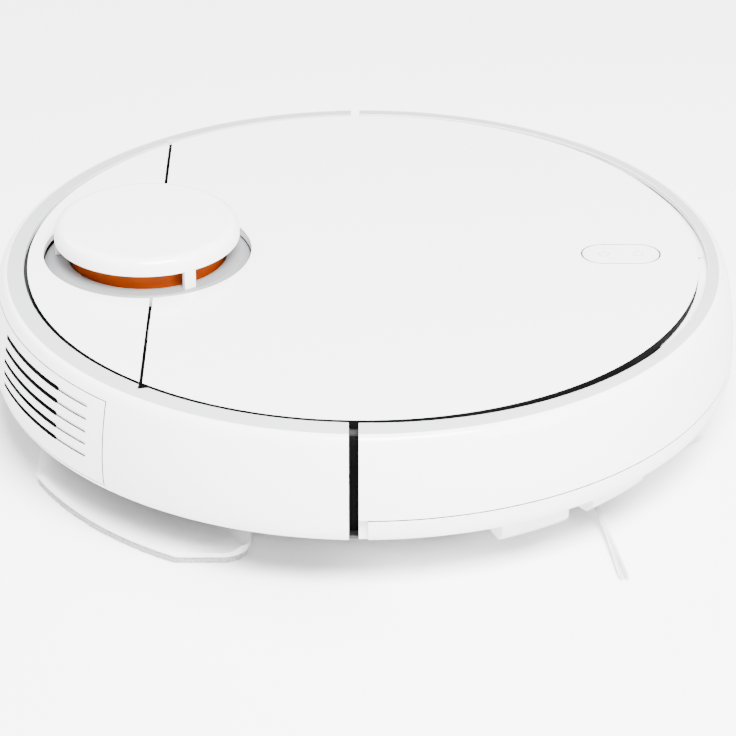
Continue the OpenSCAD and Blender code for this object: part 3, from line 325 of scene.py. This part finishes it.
FINISH = {
    # polished ABS, injection moulded: clean white with a soft clear reflection
    "gloss_white_abs": moulded("gloss_white_abs", "#F6F6F5", 0.22, 0.6, 0.02, 0.006, 0.15, 1.5, 0.01),
    # spark-eroded ABS: white with a fine even matt
    "satin_white_abs": moulded("satin_white_abs", "#F0F0EF", 0.42, 0.5, 0.08, 0.008),
    # the same matt, greyed as painted shade for the ring's slope: the ring round the lid reads as a band of
    # its own
    "ring_painted_shade_abs": moulded("ring_painted_shade_abs", "#B4B5B6", 0.38, 0.5, 0.08, 0.008),
    # pale grey ABS round the turret and under the lid
    "pale_grey_abs": moulded("pale_grey_abs", "#7E8082", 0.45, 0.6, 0.1, 0.02),
    # mid grey ABS of gear cases and the fan, with a slightly coarser matt
    "mid_grey_abs": moulded("mid_grey_abs", "#A4A7A9", 0.45, 0.6, 0.15, 0.03),
    # black ABS with a leathery mould grain, on everything that faces the floor
    "grained_black_abs": moulded("grained_black_abs", "#1B1C1E", 0.5, 0.9, 0.5, 0.2),
    # painted shade: unpolished black ABS made near-black to stand for the shade deep inside joints and
    # gaps, where hardly any light returns
    "painted_shade_black": moulded("painted_shade_black", "#030303", 0.9, 0.9, 0.3, 0.1, 0.0, 1.2),
    # black infrared-clear polycarbonate over the floor sensors: a dark mirror
    "polished_black_pc": moulded("polished_black_pc", "#0B0B0C", 0.1, 1.5, 0.02, 0.1, 0.3, 1.58),
    # deep orange polycarbonate window of the spinning head, with a soft broad shine
    "orange_pc": moulded("orange_pc", "#A63F00", 0.34, 1.2, 0.02, 0.3, 0.0, 1.18),
    # PVC shrink sleeve on the battery: blue, shiny, slightly wavy
    "blue_shrink_wrap": moulded("blue_shrink_wrap", "#2F4E80", 0.3, 3.0, 0.2, 0.1, 0.3),
    # pad-printed ink: pale grey and flat
    "ink_grey": moulded("ink_grey", "#B9BBBD", 0.5, 0.5, 0.05, 0.02),
    # extruded nylon filament: white with a dull gloss
    "nylon_filament": moulded("nylon_filament", "#EDEDEC", 0.35, 0.8, 0.05, 0.03),
    # zinc-plated steel, turned or drawn: grey with streaked highlights
    "bright_steel": drawn_metal("bright_steel", "#B8BBBE", 0.28, 0.5, (1.0, 1.0, 12.0)),
    # gold-plated brass strip of the charging contacts
    "plated_contact": drawn_metal("plated_contact", "#D2A35E", 0.22, 0.4, (14.0, 1.0, 1.0)),
    # smoked polycarbonate of the dust bin: its dust shows through
    "smoked_pc": tinted_polycarbonate("smoked_pc", "#8D939A", 0.75, 0.06),
    # three moulded rubbers: charcoal tyres, a blacker and duller rubber for the turret belt and the lid
    # seal, whose black stands in for the shade of the lid's gap, and grey brush vanes
    "tyre_rubber": soft_rubber("tyre_rubber", "#232325", 0.75, 0.5),
    "seal_rubber": soft_rubber("seal_rubber", "#1A1A1B", 0.7, 0.6),
    "vane_rubber": soft_rubber("vane_rubber", "#6C7075", 0.6, 0.8),
    # knitted microfibre terry, 1.4 mm loops: a grey nap with painted shade in the pits between the loops
    "looped_microfibre": looped_microfibre("looped_microfibre", "#B4B6B8", 1.4),
    # melt-blown polyester fleece of the bin's filter
    "pleated_fleece": pleated_fleece("pleated_fleece"),
    # lacquered glass-fibre circuit board
    "solder_mask": solder_mask("solder_mask"),
}

NODE_FINISH = {
    "gloss_white_abs": ["base_plate", "rear_shell", "rear_panel", "rear_top_cover", "lidar_cap",
                        "bumper", "lid", "mop_plate"],
    "satin_white_abs": ["bumper_trim", "button_rocker", "upper_deck", "bin_lid", "caster_wheel",
                        "brush_idler", "brush_pinion"],
    "pale_grey_abs": ["lidar_base", "left_wheel_hub", "right_wheel_hub"],
    "mid_grey_abs": ["brush_gearbox", "side_brush_drive", "fan_impeller"],
    # the inner frame, seen through the gaps, is painted near-black as their shade
    "painted_shade_black": ["inner_frame"],
    "grained_black_abs": ["battery_cover", "speaker", "fan_housing", "fan_duct", "brush_housing",
                          "brush_guard", "main_brush_core", "side_brush_hub", "left_wheel_arm",
                          "right_wheel_arm", "caster_fork", "bumper_switches", "lidar_pulley",
                          "button_bezel"],
    "polished_black_pc": ["cliff_windows"],
    "orange_pc": ["lidar_rotor"],
    "blue_shrink_wrap": ["battery"],
    "bright_steel": ["hinge_pins", "lidar_bearing", "lidar_motor", "fan_motor", "brush_motor",
                     "base_screws", "bumper_springs", "left_wheel_spring", "right_wheel_spring"],
    "plated_contact": ["charging_contacts"],
    "smoked_pc": ["dust_bin"],
    "tyre_rubber": ["left_tyre", "right_tyre"],
    # the lid seal is a black strip put in the lid's gap as its painted shade
    "seal_rubber": ["lid_seal", "lidar_belt"],
    "vane_rubber": ["main_brush_blades"],
    "nylon_filament": ["side_brush_bristles"],
    "looped_microfibre": ["mop_cloth"],
    "pleated_fleece": ["bin_filter"],
    "solder_mask": ["main_board", "switch_board"],
}
BODY_OF = {node: body for body, members in frame["record"]["behaviour"]["bodies"].items()
           for node in members}
FINISH_OF = {node: finish for finish, members in NODE_FINISH.items() for node in members}
for node, finish in FINISH_OF.items():
    nodes[node].data.materials.clear()
    nodes[node].data.materials.append(FINISH[finish])


# ---------------------------------------------------------------- building pieces
def keep_piece(mesh_source, name, finish, body, stands_for=()):
    """Turns a bmesh or a mesh into a finished piece that rides on a body."""
    if isinstance(mesh_source, bmesh.types.BMesh):
        mesh = bpy.data.meshes.new(name)
        mesh_source.to_mesh(mesh)
        mesh_source.free()
    else:
        mesh = mesh_source
    mesh.materials.clear()
    mesh.materials.append(FINISH[finish])
    for face in mesh.polygons:
        face.use_smooth = True
    mesh.set_sharp_from_angle(angle=math.radians(SMOOTH_BELOW))
    piece = bpy.data.objects.new(name, mesh)
    bpy.context.scene.collection.objects.link(piece)
    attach(piece, body)
    if stands_for:
        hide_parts(*stands_for)
    return piece


def welded(node):
    """The CAD node's surface with its faces joined and its flat parts merged."""
    bm = bmesh.new()
    bm.from_mesh(nodes[node].data)
    bmesh.ops.remove_doubles(bm, verts=bm.verts, dist=2e-6)
    bmesh.ops.dissolve_limit(bm, angle_limit=math.radians(0.4), verts=bm.verts, edges=bm.edges)
    return bm


def soften(node, width_mm):
    """A moulded copy of a CAD node: every sharp edge gets the small radius of a real mould."""
    bm = welded(node)
    sharp = [e for e in bm.edges if len(e.link_faces) == 2
             and e.calc_face_angle(0) > math.radians(SOFTEN_ABOVE)]
    bmesh.ops.bevel(bm, geom=sharp, offset=width_mm * MM, segments=3, profile=0.5,
                    affect="EDGES", clamp_overlap=True)
    bmesh.ops.remove_doubles(bm, verts=bm.verts, dist=1e-6)
    piece = keep_piece(bm, node + "_moulded", FINISH_OF[node], BODY_OF[node], (node,))
    even = piece.modifiers.new("even_shading", "WEIGHTED_NORMAL")
    even.keep_sharp = True
    return piece


def paint(piece, finish, rule):
    """Gives the faces that rule(centre, normal) picks a second finish."""
    piece.data.materials.append(FINISH[finish])
    last = len(piece.data.materials) - 1
    for face in piece.data.polygons:
        if rule(face.center, face.normal):
            face.material_index = last


def heading(point):
    """Direction of a point from the middle of the body, in degrees from straight ahead."""
    return math.degrees(math.atan2(point.y, point.x))


def out_from(point, x=0.0, y=0.0):
    """Level distance of a point from an upright axis, by default the body's own."""
    return math.hypot(point.x - x, point.y - y)


EDGE_RADIUS_MM = {
    "lid": 0.3, "upper_deck": 0.3, "bumper": 0.4, "bumper_trim": 0.4, "rear_shell": 0.6,
    "rear_panel": 0.35, "rear_top_cover": 0.5, "lidar_cap": 0.5, "button_rocker": 0.3, "mop_plate": 0.5,
    "lidar_base": 0.3, "bin_lid": 0.4, "dust_bin": 0.5, "battery_cover": 0.5, "brush_guard": 0.5,
    "battery": 2.0, "caster_wheel": 0.6, "side_brush_hub": 0.8, "left_wheel_hub": 0.5,
    "right_wheel_hub": 0.5, "fan_housing": 0.5,
}
made = {node: soften(node, width) for node, width in EDGE_RADIUS_MM.items()}

LID_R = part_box("lid")[1].x
RING_W = 9.6 * MM             # the ring's width outside the lid
LEDGE_W = 2.6 * MM            # how far the deck's ledge shows outside the lid
LEDGE_AZ = 40                 # and within how many degrees of straight ahead
RECESS_AZ = (-9, 1.5)         # the finger recess, in the same degrees
SLOPE_FROM = 0.84             # the base plate's side slopes up from this share of the lid's radius
SQUARE_ON = 0.72              # faces that look outwards have at least this share of their normal radial
LEVEL = 0.995                 # faces with this much of their normal upright are level

# the lid's edge is painted black as the shade of the gap under it, except where the finger recess is
# deepest
paint(made["lid"], "painted_shade_black", lambda c, n: abs(n.z) < 0.5 and out_from(c) > LID_R - 0.6 * MM
      and not RECESS_AZ[0] < heading(c) < RECESS_AZ[1])
# the ring round the lid gets a finer matt grain than the polished walls, and is painted greyer as the shade
# of its slope
for node in ("bumper", "rear_shell"):
    paint(made[node], "ring_painted_shade_abs", lambda c, n: n.z > 0.8 and out_from(c) < LID_R + RING_W
          and c.z > BODY_TOP - 3 * MM)
# the deck is painted black as shade where the lid hides it and at its outer edge, and stays pale where it
# shows as a ledge
DECK_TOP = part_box("lid_seal")[0].z
paint(made["upper_deck"], "painted_shade_black", lambda c, n: c.z < DECK_TOP + 0.4 * MM
      and (out_from(c) < LID_R - 4 * MM or abs(heading(c)) > LEDGE_AZ))
paint(made["upper_deck"], "painted_shade_black", lambda c, n: out_from(c) > LID_R
      and (n.z < 0.3 or out_from(c) > LID_R + LEDGE_W))
# the rear cover's side is painted black as the shade in the gap round it, so that the gap reads as one dark
# line
paint(made["rear_top_cover"], "painted_shade_black", lambda c, n: abs(n.z) < 0.5 and out_from(c) > LID_R - 1.5 * MM)
# the vent slots are painted black inside as their shade, and so are the panel's edges in its joint
paint(made["rear_panel"], "painted_shade_black",
      lambda c, n: abs(Vector((c.x, c.y, 0)).normalized().dot(n)) < SQUARE_ON)
# the level middle of the mop plate, under the robot, is painted black as the shade the body casts on it
PLATE_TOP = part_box("mop_plate")[1].z
paint(made["mop_plate"], "grained_black_abs", lambda c, n: n.z > LEVEL and c.z > PLATE_TOP - 0.5 * MM)
# the turret cup's flange is painted black as shade where it only shows as the end of the lid's joint
TURRET = centre("lidar_cap")
FLANGE_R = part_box("lidar_base")[1].x - TURRET.x - 1.1 * MM
paint(made["lidar_base"], "painted_shade_black", lambda c, n: out_from(c, TURRET.x, TURRET.y) > FLANGE_R)
# the sloping rear side of the base plate is painted black as the shade under the body; its level bottom and
# sensor pods stay pale
paint(nodes["base_plate"], "grained_black_abs",
      lambda c, n: n.z > -0.95 and out_from(c) > SLOPE_FROM * LID_R and c.x < 0)
# the joint between the bumper and its trim strip is in shadow
TRIM_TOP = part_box("bumper_trim")[1].z
TRIM_JOINT = 1.2 * MM
paint(made["bumper_trim"], "painted_shade_black", lambda c, n: n.z > 0.5 and c.z > TRIM_TOP - TRIM_JOINT)
paint(made["bumper"], "painted_shade_black", lambda c, n: n.z < -0.5 and abs(c.z - TRIM_TOP) < TRIM_JOINT)


def tube_along(bm, points, radii, sides=6):
    """A round filament through points, with a radius at each."""
    rings = []
    for i, p in enumerate(points):
        ahead = (points[min(i + 1, len(points) - 1)] - points[max(i - 1, 0)]).normalized()
        across = ahead.cross(Vector((0, 0, 1)))
        if across.length < 1e-4:
            across = ahead.cross(Vector((1, 0, 0)))
        across.normalize()
        other = ahead.cross(across)
        rings.append([bm.verts.new(p + radii[i] * (math.cos(a) * across + math.sin(a) * other))
                      for a in (2 * math.pi * k / sides for k in range(sides))])
    for a, b in zip(rings, rings[1:]):
        for k in range(sides):
            bm.faces.new((a[k], a[(k + 1) % sides], b[(k + 1) % sides], b[k]))
    bm.faces.new(rings[0])
    bm.faces.new(rings[-1][::-1])


def side_brush_tufts():
    """Three tufts of nylon filaments that leave the hub in a bundle, fan out and droop to the floor."""
    rng = random.Random(7)
    hub = centre("side_brush_hub")
    start, reach, filament_r = 11.4 * MM, 77.2 * MM, 0.22 * MM
    first_az, filaments, steps = -78, 46, 8
    for i in range(3):
        bm = bmesh.new()
        az = math.radians(first_az + 120 * i)
        out = Vector((math.cos(az), math.sin(az), 0))
        side = Vector((-out.y, out.x, 0))
        for _ in range(filaments):
            spread, rise = rng.uniform(-1, 1), rng.uniform(-1, 1)
            full = reach * rng.uniform(0.94, 1.0)
            points = []
            for s in range(steps + 1):
                t = s / steps
                r = start + (full - start) * t
                aside = spread * (1.1 + 1.5 * t * t) * MM - 2.2 * MM * t * t
                z = (6.6 + 1.0 * rise * (1 - 0.4 * t)) * (1 - t) ** 1.2 * MM + (1.5 + 0.7 * rise) * t * MM
                points.append(Vector((hub.x, hub.y, 0)) + out * r + side * aside
                              + Vector((0, 0, max(z, 0.5 * MM))))
            tube_along(bm, points, [filament_r * (1 - 0.35 * s / steps) for s in range(steps + 1)], 5)
        keep_piece(bm, f"side_brush_tuft_{i + 1}", "nylon_filament", "side_brush",
                   ("side_brush_bristles",) if i == 0 else ())


side_brush_tufts()


def vane_brush():
    """Three soft rubber vanes and three rows of bristle bundles, each bent into a V along the brush."""
    low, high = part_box("main_brush_blades")
    axis = Vector(((low.x + high.x) / 2, 0, (low.z + high.z) / 2))
    half = (high.y - low.y) / 2
    tip = (high.z - low.z) / 2
    root = 7.6 * MM
    twist = math.radians(52)

    def at(y, r, turn):
        a = turn + twist * (1 - abs(y) / half)
        return Vector((axis.x + r * math.sin(a), y, axis.z + r * math.cos(a)))

    bm = bmesh.new()
    steps = 60
    for i in range(3):
        turn = 2 * math.pi * i / 3
        rows = []
        for s in range(steps + 1):
            y = -half + 2 * half * s / steps
            # radius, and half thickness in mm, from the thick root to the thin lip
            row = [(r, w * MM / r) for r, w in ((root, 1.3), (11 * MM, 0.8), (14.5 * MM, 0.65),
                                                (tip - 0.7 * MM, 0.7), (tip, 0.35))]
            rows.append([bm.verts.new(at(y, r, turn - w)) for r, w in row]
                        + [bm.verts.new(at(y, r, turn + w)) for r, w in reversed(row)])
        for a, b in zip(rows, rows[1:]):
            for k in range(len(a)):
                bm.faces.new((a[k], a[(k + 1) % len(a)], b[(k + 1) % len(a)], b[k]))
        bm.faces.new(rows[0][::-1])
        bm.faces.new(rows[-1])
    bmesh.ops.recalc_face_normals(bm, faces=bm.faces)
    keep_piece(bm, "brush_vanes", "vane_rubber", "main_brush", ("main_brush_blades",))
    rng = random.Random(11)
    bm = bmesh.new()
    bundles, in_bundle = 44, 7
    for i in range(3):
        turn = 2 * math.pi * (i + 0.5) / 3
        for s in range(bundles):
            y = -half + 2 * half * (s + 0.5) / bundles
            for _ in range(in_bundle):
                dy, da = rng.uniform(-0.9, 0.9) * MM, rng.uniform(-0.05, 0.05)
                points = [at(y + dy * f * 1.6, r, turn + da * f) for r, f in
                          ((root, 0.4), (13 * MM, 0.8), (tip - 0.4 * MM * rng.random(), 1.2))]
                tube_along(bm, [Vector((p.x, max(-half, min(half, p.y)), p.z)) for p in points],
                           [0.17 * MM, 0.16 * MM, 0.12 * MM], 4)
    keep_piece(bm, "brush_bristles", "nylon_filament", "main_brush")


vane_brush()


def mop_pad():
    """The mop cloth: a looped pad with a rounded edge, pressed flat on the floor."""
    bm = welded("mop_cloth")
    mesh = bpy.data.meshes.new("mop_cloth_pad")
    bm.to_mesh(mesh)
    bm.free()
    pad = bpy.data.objects.new("mop_cloth_pad", mesh)
    bpy.context.scene.collection.objects.link(pad)
    remesh = pad.modifiers.new("even_mesh", "REMESH")
    remesh.mode = "VOXEL"
    remesh.voxel_size = 1.1 * MM
    smooth = pad.modifiers.new("round_edge", "SMOOTH")
    smooth.factor = 0.5
    smooth.iterations = 3
    bpy.context.view_layer.update()
    shaped = bpy.data.meshes.new_from_object(pad.evaluated_get(bpy.context.evaluated_depsgraph_get()))
    bpy.data.objects.remove(pad)
    low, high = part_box("mop_cloth")
    rng = random.Random(3)
    pressed = 1.2 * MM
    # the loops stand up a little, and the floor keeps the bottom flat
    for v in shaped.vertices:
        if v.co.z > low.z + pressed:
            v.co.z = min(high.z, v.co.z + rng.uniform(-0.12, 0.12) * MM)
        v.co.z = max(v.co.z, low.z)
        v.co.x = min(max(v.co.x, low.x), high.x)
        v.co.y = min(max(v.co.y, low.y), high.y)
    piece = keep_piece(shaped, "mop_cloth_pad", "looped_microfibre", "mop", ("mop_cloth",))


mop_pad()


def button_icons():
    """A ring with a stroke for power and a small house for the way home, printed on the button."""
    low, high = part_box("button_rocker")
    middle, top = (low + high) / 2, high.z

    ink_t, sunk = 0.06 * MM, 0.02 * MM

    def stroke(name, runs, width):
        """Printed lines of one width, a hair thick."""
        bm = bmesh.new()
        for run in runs:
            pts = [Vector((x, y, 0)) for x, y in run]
            left, right = [], []
            for i, p in enumerate(pts):
                ahead = (pts[min(i + 1, len(pts) - 1)] - pts[max(i - 1, 0)]).normalized()
                across = Vector((-ahead.y, ahead.x, 0)) * width / 2
                left.append(bm.verts.new(p + across))
                right.append(bm.verts.new(p - across))
            for i in range(len(pts) - 1):
                bm.faces.new((left[i], right[i], right[i + 1], left[i + 1]))
        solid = bmesh.ops.extrude_face_region(bm, geom=list(bm.faces))
        up = [g for g in solid["geom"] if isinstance(g, bmesh.types.BMVert)]
        bmesh.ops.translate(bm, verts=up, vec=(0, 0, ink_t))
        bmesh.ops.translate(bm, verts=bm.verts, vec=(middle.x, middle.y, top - sunk))
        bmesh.ops.recalc_face_normals(bm, faces=bm.faces)
        keep_piece(bm, name, "ink_grey", "button")

    apart, r, w = 8 * MM, 2.3 * MM, 0.45 * MM
    # the icons read upright for someone who stands on the robot's right
    ring = [(-apart + r * math.sin(a), r * math.cos(a)) for a in
            (math.radians(38 + 284 * i / 28) for i in range(29))]
    stroke("icon_power", [ring, [(-apart, r * 1.25), (-apart, r * 0.2)]], w)
    h = 2.1 * MM
    house = [(apart - h, -h), (apart - h, 0.4 * h), (apart, 1.25 * h), (apart + h, 0.4 * h),
             (apart + h, -h), (apart - h, -h)]
    stroke("icon_home", [house], w)


button_icons()
